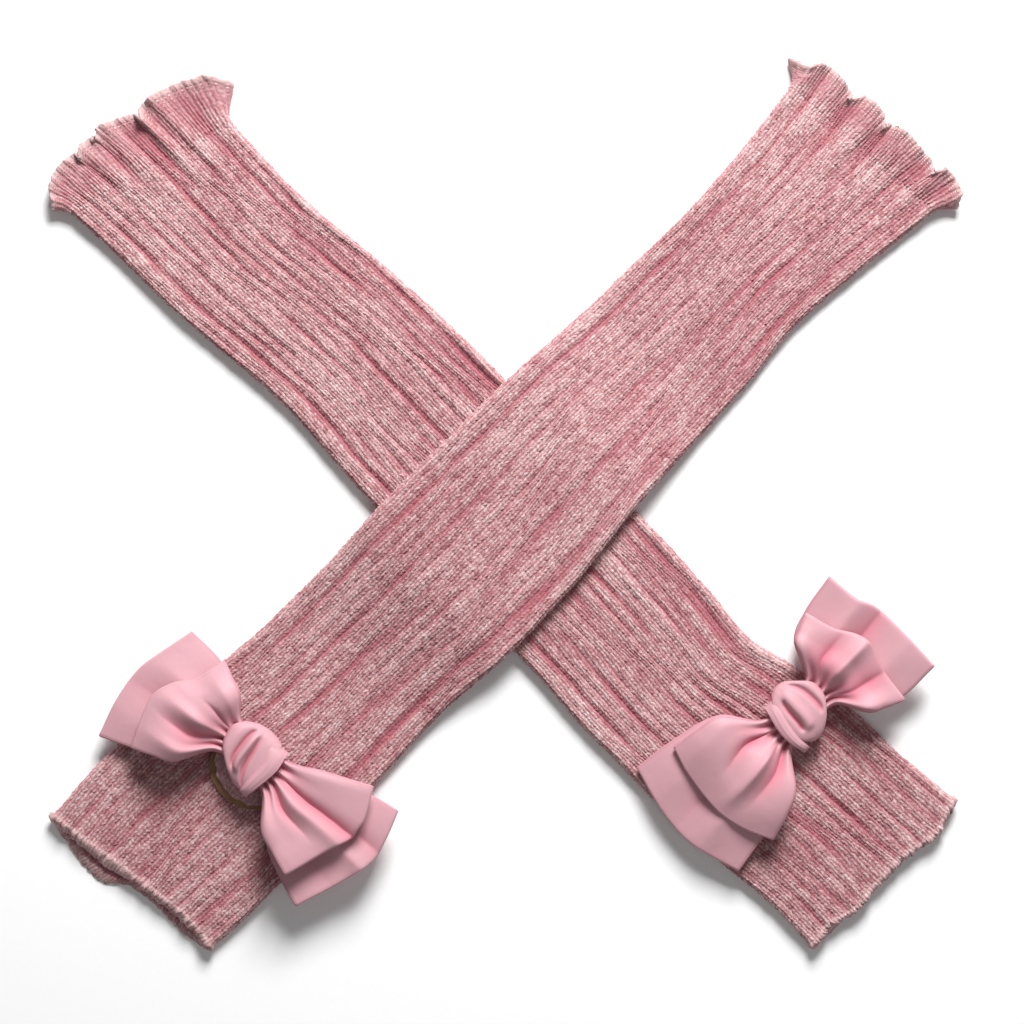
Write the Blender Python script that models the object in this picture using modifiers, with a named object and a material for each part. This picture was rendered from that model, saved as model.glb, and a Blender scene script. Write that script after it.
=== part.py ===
"""A pair of knitted arm warmers with ribbon bows, laid flat and crossed on a table.

Each arm warmer is a flattened knitted tube with a plain cast-on cuff at the hand end
and a thin lettuce-edge frill at the arm end. A double bow of satin ribbon sits near
the cuff: two ribbon rings, one on the other, gathered in the middle by a ribbon knot.

Lengths in the tables are in millimetres and the model is in metres. In a warmer's own
frame X runs from the cuff to the frill, Y points to its left and Z is up. In a bow's
own frame X runs along the loops, Y points towards the frill and Z is up.
"""

import math
from collections import namedtuple

import bmesh
import bpy
from mathutils import Matrix

MM = 0.001
SEAM = 0.3                  # gap between pieces that touch

# Knitted tube
KNIT_WALL = 2.0
TUBE_HEIGHT = 5.8           # two walls and the slack between them
TOP_STEPS = 15
FOLD_STEPS = 4
BOTTOM_STEPS = 6
CUFF_BLEND = 40.0           # how far the uneven cuff edge reaches into the tube
END_BLEND = 110.0           # how far the slanted frill end reaches into the tube

# Frill
FRILL_WALL = 1.0
FRILL_TOP_STEPS = 24
FRILL_BOTTOM_STEPS = 12
FRILL_RISE = 0.8            # height of the frill's waves on the upper panel
FRILL_LOBES = 5

# Ribbon
RIBBON_WALL = 0.8
LAYER_PITCH = 1.5          # height between gathered ribbon layers in the knot
GATHER_HALF = 7.5           # half width of the ribbon where the knot gathers it
PLEAT_RISE = 1.0
PLEAT_WAVES = 1.5
PLEAT_FADE = 18.0
MOUTH = 13.5                # from the knot's middle to where the loops leave it
RIBBON_STEPS = 8            # faces across the ribbon
FOLD_RADIUS = 1.1
EDGE_DROP = 1.2             # how far a loop's upper layer falls at its side edges

# Knot
KNOT_WALL = 1.8
KNOT_POINTS = 20
KNOT_SQUARENESS = 0.45      # 1 is an ellipse and less is squarer

TubeRow = namedtuple("TubeRow", "along left right lift")
EdgeRow = namedtuple("EdgeRow", "across upper lower")
ReachRow = namedtuple("ReachRow", "across reach")
Trough = namedtuple("Trough", "across depth half_width start end")
LoopRow = namedtuple("LoopRow", "out low high under over")
Loop = namedtuple("Loop", "mouth skew bulge rows")
KnotRow = namedtuple("KnotRow", "out low high rise")
Disc = namedtuple("Disc", "name centre radii thickness material")
Bow = namedtuple("Bow", "place turn seat ribbons knot discs")
Warmer = namedtuple("Warmer", "name cuff heading rows cuff_edge end_left end_right "
                              "frill flare_left flare_right troughs bow")

OVER_ROWS = [
    TubeRow(0, 44.0, 44.5, 0.0),
    TubeRow(26, 46.0, 46.0, 0.0),
    TubeRow(60, 44.5, 46.0, 0.0),
    TubeRow(95, 39.0, 45.0, 0.0),
    TubeRow(115, 37.2, 44.3, 0.0),
    TubeRow(140, 36.8, 43.4, 0.4),
    TubeRow(162, 37.0, 44.2, 3.2),
    TubeRow(182, 38.0, 46.0, 6.1),
    TubeRow(225, 38.3, 44.6, 6.2),
    TubeRow(272, 37.4, 39.8, 6.1),
    TubeRow(292, 36.2, 38.6, 3.2),
    TubeRow(314, 35.0, 37.8, 0.4),
    TubeRow(340, 34.8, 36.6, 0.0),
    TubeRow(370, 34.0, 33.8, 0.0),
    TubeRow(404, 35.5, 36.2, 0.0),
    TubeRow(422, 37.2, 38.2, 0.0),
    TubeRow(446, 40.5, 41.0, 0.0),
]

UNDER_ROWS = [
    TubeRow(0, 44.5, 44.0, 0.0),
    TubeRow(26, 43.5, 42.0, 0.0),
    TubeRow(60, 46.0, 41.0, 0.0),
    TubeRow(92, 46.5, 36.6, 0.0),
    TubeRow(112, 46.0, 32.0, 0.0),
    TubeRow(140, 45.4, 34.8, 0.0),
    TubeRow(165, 43.4, 36.2, 0.0),
    TubeRow(225, 41.5, 38.0, 0.0),
    TubeRow(280, 39.4, 38.2, 0.0),
    TubeRow(320, 36.4, 37.6, 0.0),
    TubeRow(350, 37.8, 35.8, 0.0),
    TubeRow(385, 40.4, 33.4, 0.0),
    TubeRow(420, 40.4, 33.3, 0.0),
    TubeRow(446, 41.5, 34.5, 0.0),
]

OVER_CUFF_EDGE = [
    EdgeRow(-44, 4.2, 3.0),
    EdgeRow(-30, 6.0, 0.0),
    EdgeRow(-14, 4.4, 0.4),
    EdgeRow(0, 2.6, -2.0),
    EdgeRow(8, 1.6, -9.0),
    EdgeRow(20, -0.4, -9.5),
    EdgeRow(44, -3.9, -4.5),
]

UNDER_CUFF_EDGE = [
    EdgeRow(-44, 0.2, 0.4),
    EdgeRow(-28, -4.6, -2.0),
    EdgeRow(-10, -1.3, -2.6),
    EdgeRow(8, -1.8, -1.0),
    EdgeRow(20, -2.6, 0.0),
    EdgeRow(31, 0.6, -1.6),
    EdgeRow(44, -0.6, 0.0),
]

OVER_FRILL = [
    ReachRow(-41, 10.0),
    ReachRow(-36, 15.5),
    ReachRow(-26, 13.0),
    ReachRow(-10, 15.5),
    ReachRow(2, 15.5),
    ReachRow(16, 12.0),
    ReachRow(26, 15.0),
    ReachRow(41, 9.0),
]

UNDER_FRILL = [
    ReachRow(-34, 9.5),
    ReachRow(-26, 17.0),
    ReachRow(-12, 20.0),
    ReachRow(-3, 19.5),
    ReachRow(6, 24.0),
    ReachRow(18, 22.0),
    ReachRow(30, 18.5),
    ReachRow(41, 6.0),
]

OVER_TROUGHS = [
    Trough(26, 0.9, 6.0, 95, 440),
    Trough(6, 0.6, 7.0, -40, 330),
    Trough(-16, 0.7, 7.0, 120, 480),
    Trough(-32, 0.9, 6.0, 20, 470),
]

UNDER_TROUGHS = [
    Trough(30, 0.8, 6.0, 110, 420),
    Trough(12, 0.7, 6.0, -20, 240),
    Trough(-8, 0.6, 6.0, 250, 480),
    Trough(-24, 0.9, 6.0, 70, 400),
]

OVER_BACK = (
    Loop(
        mouth=(-10.0, 8.0), skew=-0.5, bulge=7.0,
        rows=[
            LoopRow(24, -24.5, 17.0, 2.3, 5.1),
            LoopRow(38, -31.0, 21.0, 0.0, 4.0),
            LoopRow(53, -37.5, 22.0, -1.4, 0.8),
        ]),
    Loop(
        mouth=(-10.0, 7.5), skew=3.2, bulge=8.0,
        rows=[
            LoopRow(30, -25.5, 15.5, 2.0, 4.9),
            LoopRow(46, -33.0, 19.5, -0.2, 3.4),
            LoopRow(58, -37.0, 22.0, -1.2, 1.0),
        ]),
)

OVER_FRONT = (
    Loop(
        mouth=(-10.0, 8.0), skew=-3.2, bulge=11.0,
        rows=[
            LoopRow(22, -23.5, 16.5, 8.3, 12.3),
            LoopRow(30, -28.0, 19.5, 7.4, 11.4),
            LoopRow(37, -31.5, 22.3, 6.0, 8.2),
        ]),
    Loop(
        mouth=(-10.0, 7.5), skew=2.0, bulge=9.0,
        rows=[
            LoopRow(24, -21.5, 13.5, 7.8, 11.8),
            LoopRow(34, -25.5, 18.5, 6.8, 10.8),
            LoopRow(44, -29.0, 23.5, 5.2, 7.4),
        ]),
)

UNDER_BACK = (
    Loop(
        mouth=(-8.0, 10.5), skew=-0.8, bulge=5.5,
        rows=[
            LoopRow(24, -19.0, 24.5, 2.8, 5.6),
            LoopRow(46, -24.5, 31.5, 2.7, 6.3),
            LoopRow(64, -27.8, 34.2, 1.7, 3.9),
        ]),
    Loop(
        mouth=(-8.0, 9.5), skew=-2.1, bulge=3.8,
        rows=[
            LoopRow(21, -20.0, 23.5, 2.8, 5.2),
            LoopRow(34, -26.0, 29.0, 2.3, 6.1),
            LoopRow(52, -26.8, 32.0, 1.5, 3.7),
        ]),
)

UNDER_FRONT = (
    Loop(
        mouth=(-8.0, 10.5), skew=0.7, bulge=8.6,
        rows=[
            LoopRow(24, -20.0, 24.5, 9.0, 12.9),
            LoopRow(34, -25.0, 27.5, 8.5, 12.5),
            LoopRow(45, -28.4, 29.4, 7.7, 9.9),
        ]),
    Loop(
        mouth=(-8.0, 9.5), skew=-1.5, bulge=8.4,
        rows=[
            LoopRow(20, -19.5, 22.5, 9.2, 13.0),
            LoopRow(26, -23.5, 26.0, 8.3, 12.3),
            LoopRow(33, -27.0, 28.7, 7.3, 9.5),
        ]),
)

OVER_KNOT = [
    KnotRow(-11.5, -13.6, 12.0, 11.6),
    KnotRow(-7.0, -14.4, 12.8, 12.0),
    KnotRow(0.0, -14.6, 12.4, 12.4),
    KnotRow(7.0, -15.0, 11.4, 12.0),
    KnotRow(11.5, -14.8, 10.8, 11.6),
]

UNDER_KNOT = [
    KnotRow(-11.5, -12.0, 14.8, 11.6),
    KnotRow(-6.0, -12.6, 15.6, 12.0),
    KnotRow(0.0, -12.4, 16.0, 12.4),
    KnotRow(6.0, -12.8, 15.2, 12.0),
    KnotRow(11.5, -13.0, 14.4, 11.6),
]

FELT = Disc("bow_felt", (3.0, -8.0), (19.0, 15.5), 1.0, "tan_felt")
TAB = Disc("bow_tab", (4.0, -6.0), (17.0, 13.4), 1.7, "pink_knit")

OVER_BOW = Bow(
    place=(77.5, 1.4), turn=-85.9, seat=TUBE_HEIGHT + 1.0 + 1.7 + 3 * SEAM,
    ribbons=(OVER_BACK, OVER_FRONT), knot=OVER_KNOT, discs=(FELT, TAB))
UNDER_BOW = Bow(
    place=(74.3, -23.6), turn=-89.6, seat=TUBE_HEIGHT + SEAM,
    ribbons=(UNDER_BACK, UNDER_FRONT), knot=UNDER_KNOT, discs=())

OVER = Warmer(
    name="over", cuff=(-160.7, -160.8), heading=45.1, rows=OVER_ROWS,
    cuff_edge=OVER_CUFF_EDGE, end_left=441.0, end_right=447.0,
    frill=OVER_FRILL, flare_left=4.5, flare_right=5.0,
    troughs=OVER_TROUGHS, bow=OVER_BOW)
UNDER = Warmer(
    name="under", cuff=(162.7, -157.0), heading=135.6, rows=UNDER_ROWS,
    cuff_edge=UNDER_CUFF_EDGE, end_left=447.0, end_right=425.0,
    frill=UNDER_FRILL, flare_left=3.0, flare_right=9.0,
    troughs=UNDER_TROUGHS, bow=UNDER_BOW)

MATERIALS = {
    "pink_knit": ((0.62, 0.27, 0.31), 0.9, 0.0),
    "frill_knit": ((0.72, 0.42, 0.45), 0.9, 0.0),
    "pink_satin": ((0.82, 0.42, 0.50), 0.35, 0.0),
    "tan_felt": ((0.42, 0.26, 0.10), 0.95, 0.0),
}


def clear_scene():
    """Remove every object that is in the file."""
    for item in list(bpy.data.objects):
        bpy.data.objects.remove(item, do_unlink=True)


def make_material(name):
    """A plain Principled material for one kind of cloth."""
    colour, roughness, metallic = MATERIALS[name]
    material = bpy.data.materials.new(name)
    material.use_nodes = True
    shader = material.node_tree.nodes["Principled BSDF"]
    shader.inputs["Base Color"].default_value = (*colour, 1.0)
    shader.inputs["Roughness"].default_value = roughness
    shader.inputs["Metallic"].default_value = metallic
    return material


def smooth(share):
    """Ease from 0 to 1 as share goes from 0 to 1."""
    share = min(max(share, 0.0), 1.0)
    return share * share * (3.0 - 2.0 * share)


def read_table(rows, column, at):
    """Read one named column of a table at a place between its rows, along a smooth curve."""
    keys = [row[0] for row in rows]
    values = [getattr(row, column) for row in rows]
    if at <= keys[0]:
        return values[0]
    if at >= keys[-1]:
        return values[-1]
    i = max(n for n in range(len(keys) - 1) if keys[n] <= at)

    def slope(n):
        low, high = max(n - 1, 0), min(n + 1, len(keys) - 1)
        return (values[high] - values[low]) / (keys[high] - keys[low])

    span = keys[i + 1] - keys[i]
    t = (at - keys[i]) / span
    bend_in = slope(i) * span
    bend_out = slope(i + 1) * span
    return ((2 * t**3 - 3 * t**2 + 1) * values[i] + (t**3 - 2 * t**2 + t) * bend_in
            + (3 * t**2 - 2 * t**3) * values[i + 1] + (t**3 - t**2) * bend_out)


def flat_ring(left, right, height, top_steps, bottom_steps):
    """A flattened ring, as (across, up) points: two level runs joined by half-round folds."""
    half = height / 2
    points = []
    width = left + right - height
    for i in range(top_steps + 1):
        points.append((left - half - width * i / top_steps, height))
    for i in range(1, FOLD_STEPS):
        angle = math.pi * (0.5 - i / FOLD_STEPS)
        points.append((-(right - half) - half * math.cos(angle), half + half * math.sin(angle)))
    for i in range(bottom_steps + 1):
        points.append((-(right - half) + width * i / bottom_steps, 0.0))
    for i in range(1, FOLD_STEPS):
        angle = math.pi * (-0.5 + i / FOLD_STEPS)
        points.append(((left - half) + half * math.cos(angle), half + half * math.sin(angle)))
    return points


def trough_depth(warmer, along, across):
    """How far the lengthwise troughs lower the upper panel at one place."""
    depth = 0.0
    for trough in warmer.troughs:
        into = smooth((along - trough.start) / 40.0) * smooth((trough.end - along) / 40.0)
        offset = (across - trough.across) / trough.half_width
        depth += trough.depth * into * math.exp(-offset * offset)
    return depth


def end_line(warmer, across):
    """Where the tube ends and the frill begins, at one place across it."""
    last = warmer.rows[-1]
    share = (across + last.right) / (last.left + last.right)
    return warmer.end_right + (warmer.end_left - warmer.end_right) * share


def tube_point(warmer, along, across, up):
    """Place one point of the flat ring at a station, with the edges, troughs and lift."""
    length = warmer.rows[-1].along
    upper_share = up / TUBE_HEIGHT
    upper = read_table(warmer.cuff_edge, "upper", across)
    lower = read_table(warmer.cuff_edge, "lower", across)
    cuff_shift = lower + (upper - lower) * upper_share
    cuff_weight = smooth(1.0 - along / CUFF_BLEND)
    end_weight = smooth((along - (length - END_BLEND)) / END_BLEND)
    x = along + cuff_shift * cuff_weight + (end_line(warmer, across) - length) * end_weight
    z = up - upper_share * trough_depth(warmer, along, across)
    return (x, across, z + read_table(warmer.rows, "lift", along))


def stations(warmer):
    """The places along the tube that get a ring: each table row, and near the cuff edge."""
    return sorted({row.along for row in warmer.rows} | {8, 40})


def make_sheet(name, rings, wall, offset, closed_along=False, closed_across=True):
    """Join rings of points into one sheet and give it a wall with Solidify."""
    count = len(rings[0])
    points = [tuple(v * MM for v in point) for ring in rings for point in ring]
    faces = []
    for r in range(len(rings) if closed_along else len(rings) - 1):
        upper = r * count
        lower = ((r + 1) % len(rings)) * count
        for i in range(count if closed_across else count - 1):
            j = (i + 1) % count
            faces.append((upper + i, upper + j, lower + j, lower + i))
    mesh = bpy.data.meshes.new(name)
    mesh.from_pydata(points, [], faces)
    mesh.shade_smooth()
    item = bpy.data.objects.new(name, mesh)
    wall_modifier = item.modifiers.new("wall", "SOLIDIFY")
    wall_modifier.thickness = wall * MM
    wall_modifier.offset = offset
    wall_modifier.use_even_offset = True
    return item


def make_tube(warmer):
    """The knitted tube, as a hollow flattened wall that is open at both ends."""
    rings = []
    for along in stations(warmer):
        left = read_table(warmer.rows, "left", along)
        right = read_table(warmer.rows, "right", along)
        ring = flat_ring(left, right, TUBE_HEIGHT, TOP_STEPS, BOTTOM_STEPS)
        rings.append([tube_point(warmer, along, y, z) for y, z in ring])
    return make_sheet(f"{warmer.name}_tube", rings, KNIT_WALL, -1.0)


def make_frill(warmer):
    """The thin frill, which flares from the tube's end and waves at its free edge."""
    last = warmer.rows[-1]
    inset = (KNIT_WALL - FRILL_WALL) / 2
    height = TUBE_HEIGHT - 2 * inset
    ring = flat_ring(last.left - inset, last.right - inset, height,
                     FRILL_TOP_STEPS, FRILL_BOTTOM_STEPS)
    rings = []
    for out in (0.0, 0.5, 1.0):
        points = []
        for across, up in ring:
            upper_share = up / height
            reach = read_table(warmer.frill, "reach", across)
            x = end_line(warmer, across) + 2 * SEAM + (reach - 2 * SEAM) * out
            flare = warmer.flare_left if across > 0 else warmer.flare_right
            half = last.left if across > 0 else last.right
            y = across + math.copysign(flare * out * smooth(abs(across) / half), across)
            turn = 2 * math.pi * FRILL_LOBES * across / (last.left + last.right)
            level = inset * (1.0 - out * (1.0 - upper_share))
            wave = FRILL_RISE * out * math.cos(turn) * upper_share
            points.append((x, y, up + level + wave))
        rings.append(points)
    return make_sheet(f"{warmer.name}_frill", rings, FRILL_WALL, -1.0)


def gather_level(layer):
    """Height above the seat of one gathered ribbon layer in the knot, counted from below."""
    return KNOT_WALL + SEAM + RIBBON_WALL / 2 + PLEAT_RISE + LAYER_PITCH * layer


def loop_table(loop, order):
    """A loop's rows with its two gathered rows first: the knot's middle and its mouth."""
    under, over = gather_level(2 * order), gather_level(2 * order + 1)
    middle = LoopRow(0, -GATHER_HALF, GATHER_HALF, under, over)
    return [middle, LoopRow(MOUTH, *loop.mouth, under, over)] + loop.rows


def loop_stations(rows):
    """How far out each ring of a loop lies: its rows, and halfway in the gathered part."""
    outs = [row.out for row in rows]
    return sorted(outs + [(outs[0] + outs[1]) / 2, (outs[1] + outs[2]) / 2])


def loop_point(loop, rows, side, out, across_share, layer):
    """One point of a ribbon loop, on its over (1) or under (0) layer, above the seat.

    side is -1 for the left loop and 1 for the right one. out goes from the knot's middle
    to the outer fold, and across_share from -1 to 1 over the ribbon's width.
    """
    out_share = out / rows[-1].out
    low = read_table(rows, "low", out)
    high = read_table(rows, "high", out)
    under = read_table(rows, "under", out)
    over = read_table(rows, "over", out)
    y = low + (high - low) * (across_share + 1) / 2
    spread = smooth(out_share) * out_share
    x = out + spread * (loop.skew * across_share + loop.bulge * (1 - across_share**2))
    pleat = PLEAT_RISE * math.exp(-max(out - MOUTH, 0.0) / PLEAT_FADE)
    ripple = pleat * math.cos(math.pi * PLEAT_WAVES * across_share)
    opened = smooth((out - MOUTH) / MOUTH) * (1 - 0.5 * smooth(out_share * 2 - 1))
    drop = EDGE_DROP * across_share**2 * opened * layer
    return (side * x, y, under + (over - under) * layer + ripple - drop)


def make_ribbon(name, bow, order):
    """One ribbon ring of a bow: two loops, gathered flat where the knot holds them."""
    across = [-1 + 2 * i / RIBBON_STEPS for i in range(RIBBON_STEPS + 1)]
    left, right = bow.ribbons[order]
    rings = []
    for side, loop in ((1, right), (-1, left)):
        rows = loop_table(loop, order)
        outs = loop_stations(rows)
        first = 1 if side > 0 else 0
        for out in outs:
            rings.append([loop_point(loop, rows, side, out, v, first) for v in across])
        fold = []
        for v in across:
            x, y, z_first = loop_point(loop, rows, side, outs[-1], v, first)
            z_back = loop_point(loop, rows, side, outs[-1], v, 1 - first)[2]
            fold.append((x + side * FOLD_RADIUS, y, (z_first + z_back) / 2))
        rings.append(fold)
        for out in reversed(outs[1:]):
            rings.append([loop_point(loop, rows, side, out, v, 1 - first) for v in across])
    rings = [[(x, y, z + bow.seat) for x, y, z in ring] for ring in reversed(rings)]
    return make_sheet(name, rings, RIBBON_WALL, 0.0, closed_along=True, closed_across=False)


def make_knot(name, bow):
    """The ribbon knot, as a wrapped band around the gathered ribbons."""
    rings = []
    for row in bow.knot:
        middle = (row.low + row.high) / 2
        half = (row.high - row.low) / 2
        points = []
        for i in range(KNOT_POINTS):
            angle = 2 * math.pi * i / KNOT_POINTS
            cosine, sine = math.cos(angle), math.sin(angle)
            y = middle + half * math.copysign(abs(cosine) ** KNOT_SQUARENESS, cosine)
            z = bow.seat + row.rise / 2 * (1 + math.copysign(abs(sine) ** KNOT_SQUARENESS, sine))
            points.append((row.out, y, z))
        rings.append(points)
    return make_sheet(name, rings, KNOT_WALL, -1.0)


def make_disc(name, disc, level):
    """A flat oval pad under the knot, from a cylinder."""
    mesh = bpy.data.meshes.new(name)
    shape = bmesh.new()
    bmesh.ops.create_cone(shape, cap_ends=True, segments=24, radius1=1.0, radius2=1.0, depth=1.0)
    size = Matrix.Diagonal((disc.radii[0] * MM, disc.radii[1] * MM, disc.thickness * MM, 1.0))
    height = (level + disc.thickness / 2) * MM
    place = Matrix.Translation((disc.centre[0] * MM, disc.centre[1] * MM, height))
    shape.transform(place @ size)
    shape.to_mesh(mesh)
    shape.free()
    return bpy.data.objects.new(name, mesh)


def add_frame(collection, name, place, turn, parent=None):
    """An empty that carries one warmer or one bow."""
    frame = bpy.data.objects.new(name, None)
    collection.objects.link(frame)
    frame.parent = parent
    frame.location = (place[0] * MM, place[1] * MM, 0.0)
    frame.rotation_euler = (0.0, 0.0, math.radians(turn))
    return frame


def add_piece(collection, item, parent, material):
    """Put one finished piece in the collection, in its frame and with its cloth."""
    collection.objects.link(item)
    item.parent = parent
    item.data.materials.append(material)


def build_warmer(collection, warmer, materials):
    """One arm warmer: its tube, frill and bow."""
    frame = add_frame(collection, f"{warmer.name}_frame", warmer.cuff, warmer.heading)
    add_piece(collection, make_tube(warmer), frame, materials["pink_knit"])
    add_piece(collection, make_frill(warmer), frame, materials["frill_knit"])

    bow = warmer.bow
    bow_frame = add_frame(collection, f"{warmer.name}_bow_frame", bow.place, bow.turn, frame)
    level = TUBE_HEIGHT + SEAM
    for disc in bow.discs:
        pad = make_disc(f"{warmer.name}_{disc.name}", disc, level)
        add_piece(collection, pad, bow_frame, materials[disc.material])
        level += disc.thickness + SEAM
    satin = materials["pink_satin"]
    back = make_ribbon(f"{warmer.name}_bow_back", bow, 0)
    front = make_ribbon(f"{warmer.name}_bow_front", bow, 1)
    knot = make_knot(f"{warmer.name}_bow_knot", bow)
    for piece in (back, front, knot):
        add_piece(collection, piece, bow_frame, satin)


def build():
    """The whole pair, in one collection."""
    clear_scene()
    collection = bpy.data.collections.new("knitted_arm_warmers")
    bpy.context.scene.collection.children.link(collection)
    materials = {name: make_material(name) for name in MATERIALS}
    for warmer in (UNDER, OVER):
        build_warmer(collection, warmer, materials)
    bpy.context.view_layer.update()


build()
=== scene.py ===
"""The looks of a pair of knitted arm warmers with ribbon bows, laid flat and crossed.

Each CAD node is replaced by a thin shell on its own form. The tubes are knitted in
geometry: a column of V stitches for every wale, ribs, troughs and a lumpy cuff edge.
The frills ruffle, and the ribbon loops and knots carry their pleats.

Lengths in the tables are in millimetres, in the frames that the CAD model uses. In a
warmer's own frame X runs from the cuff to the frill, Y points to its left and Z is up.
In a bow's own frame X runs along the loops, Y points towards the frill and Z is up.
"""

import math
from collections import namedtuple

import bpy
import numpy as np
from mathutils import Matrix, Vector


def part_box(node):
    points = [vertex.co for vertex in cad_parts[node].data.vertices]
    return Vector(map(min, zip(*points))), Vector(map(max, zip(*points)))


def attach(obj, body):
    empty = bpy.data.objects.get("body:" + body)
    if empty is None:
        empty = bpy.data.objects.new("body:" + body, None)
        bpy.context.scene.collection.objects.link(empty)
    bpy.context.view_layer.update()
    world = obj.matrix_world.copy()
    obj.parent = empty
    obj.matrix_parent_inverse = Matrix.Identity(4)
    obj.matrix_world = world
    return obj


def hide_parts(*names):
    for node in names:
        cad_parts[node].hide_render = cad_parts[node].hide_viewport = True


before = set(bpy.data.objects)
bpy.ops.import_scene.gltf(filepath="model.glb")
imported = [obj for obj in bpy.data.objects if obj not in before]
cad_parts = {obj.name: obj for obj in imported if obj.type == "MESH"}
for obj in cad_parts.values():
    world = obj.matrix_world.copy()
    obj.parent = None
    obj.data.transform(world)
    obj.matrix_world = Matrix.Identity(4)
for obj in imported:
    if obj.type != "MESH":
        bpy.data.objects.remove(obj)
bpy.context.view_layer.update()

MM = 0.001
RANDOM_SEED = 11

# Knitted tube
KNIT_WALL = 2.0
TUBE_HEIGHT = 5.8
CUFF_BLEND = 40.0
END_BLEND = 110.0
WALES = 30                  # columns of stitches on each panel
COURSE = 1.94               # height of one stitch
LEG_SLANT = 0.62            # how far a stitch's leg climbs, in stitches
# The cast-on edge's tone below also sets painted shade: the inside of the cuff is darkened by the
# same amount.
RIM_PALE_AND_INSIDE_SHADE = 1.1              # how much paler the cast-on edge is, as a height
WALE_WANDER = 0.30          # how far a column of stitches drifts, in columns
STITCH_JITTER = 0.06        # how far a point of a stitch strays, in columns
RIB_VALLEY = 0.36           # half width of the valley between two ribs, in columns
RIM_PLACE = 0.9             # middle and spread of the cast-on edge, along the tube
RIM_SPREAD = 1.5
CREASE_FADE = 35.0
CREASE_WANDER = 0.006
TURN_IN = 42.0              # how far the inside of the cuff is modelled
UPPER_COLUMNS = (0.0, 0.25, 0.5, 0.75)
LOWER_COLUMNS = (0.0, 0.5)

# Frill
FRILL_WALL = 0.5
FRILL_COURSES = 10
FRILL_UPPER_STEP = 0.125    # in columns of stitches
FRILL_LOWER_STEP = 0.25
FLUTE_REACH = 34.0          # how far the frill's waves run back into the tube
FLUTE_FADE = 14.0           # and how far past its end they go on growing
FLUTE_LEVEL = 1.5
FLUTE_STRENGTH = 0.46
CURL_START = 0.68
CURL_STRENGTH = 0.26
BEAD_RADIUS = 0.8
BEAD_STEPS = 7

# Ribbon. GATHER_ names are the folds that the knot holds, and MOUTH is where a loop opens.
RIBBON_WALL = 0.35
CAD_RIBBON_WALL = 0.8
CAD_KNOT_WALL = 1.8
SEAM = 0.3
GATHER_HALF = 7.5
GATHER_RISE = 1.3
GATHER_HIDDEN = 1.5
GATHER_WAVES = 4.5
GATHER_FADE = 5.5
LAYER_PITCH = 1.5
MOUTH = 13.5
FOLD_RADIUS = 0.9
RIBBON_COLUMNS = 81
LOOP_STATIONS = 46
FOLD_STEPS = 6
BAND_CLEARANCE = 0.8
BAND_WRAP = 0.25            # how far the knot's band runs past its sides, in radians
BAND_SCALE = 11.0           # length of cloth for each radian of the band
BAND_STEPS = 60
BAND_COLUMNS = 17
KNOT_AROUND = 120
KNOT_STEPS = 60
KNOT_GIRTH = 70.0
KNOT_SIDE_POWER = 0.75      # below 1, so the knot is squarer than an ellipse
KNOT_TOP_POWER = 0.7
BODY_TUCK = 2.6             # how far the knot's ends draw in, over what share of it
BODY_TUCK_SHARE = 0.035

# Backing pads
PAD_SPOKES = 110
PAD_RADII = {"over_bow_felt": (17.6, 14.9), "over_bow_tab": (17.2, 14.0)}

TubeRow = namedtuple("TubeRow", "along left right lift")
EdgeRow = namedtuple("EdgeRow", "across upper lower")
FrillRow = namedtuple("FrillRow", "across reach rise lean curl")
Crease = namedtuple("Crease", "share depth width start end drift")
LoopRow = namedtuple("LoopRow", "out low high under over")
TipRow = namedtuple("TipRow", "share out")
BandRow = namedtuple("BandRow", "across x half")
Pleat = namedtuple("Pleat", "root tip rise width reach")
Loop = namedtuple("Loop", "mouth crown rows tip pleats")
KnotRow = namedtuple("KnotRow", "across left right")
Fold = namedtuple("Fold", "place slant rise width start end")
Knot = namedtuple("Knot", "low high rise rows folds band tuck")
Bow = namedtuple("Bow", "place turn seat ribbons knot")
Warmer = namedtuple("Warmer", "name cuff heading rows cuff_edge end_left end_right "
                              "upper_frill lower_frill flare_left flare_right "
                              "creases rib_depth bow")


def table(row, *values):
    """Rows with the named columns of one kind of row."""
    return [row(*each) for each in values]


def make_loop(mouth, crown, rows, tip, pleats):
    """A ribbon loop, whose rows, tip and pleats are LoopRow, TipRow and Pleat tables."""
    return Loop(mouth, crown, table(LoopRow, *rows), table(TipRow, *tip), table(Pleat, *pleats))


OVER_ROWS = table(
    TubeRow, (0, 44, 44.5, 0), (26, 46, 46, 0), (60, 44.5, 46, 0), (95, 39, 45, 0),
    (115, 37.2, 44.3, 0), (140, 36.8, 43.4, 0.4), (162, 37, 44.2, 3.2), (182, 38, 46, 6.1),
    (225, 38.3, 44.6, 6.2), (272, 37.4, 39.8, 6.1), (292, 36.2, 38.6, 3.2), (314, 35, 37.8, 0.4),
    (340, 34.8, 36.6, 0), (370, 34, 33.8, 0), (404, 35.5, 36.2, 0), (422, 37.2, 38.2, 0),
    (446, 40.5, 41, 0))

UNDER_ROWS = table(
    TubeRow, (0, 44.5, 44, 0), (26, 43.5, 42, 0), (60, 46, 41, 0), (92, 46.5, 36.6, 0),
    (112, 46, 32, 0), (140, 45.4, 34.8, 0), (165, 43.4, 36.2, 0), (225, 41.5, 38, 0),
    (280, 39.4, 38.2, 0), (320, 36.4, 37.6, 0), (350, 37.8, 35.8, 0), (385, 40.4, 33.4, 0),
    (420, 40.4, 33.3, 0), (446, 41.5, 34.5, 0))

OVER_CUFF_EDGE = table(
    EdgeRow, (-44, 4.2, 3), (-30, 6, 0), (-14, 4.4, 0.4), (0, 2.6, -2), (8, 1.6, -9),
    (20, -0.4, -9.5), (44, -3.9, -4.5))

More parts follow.
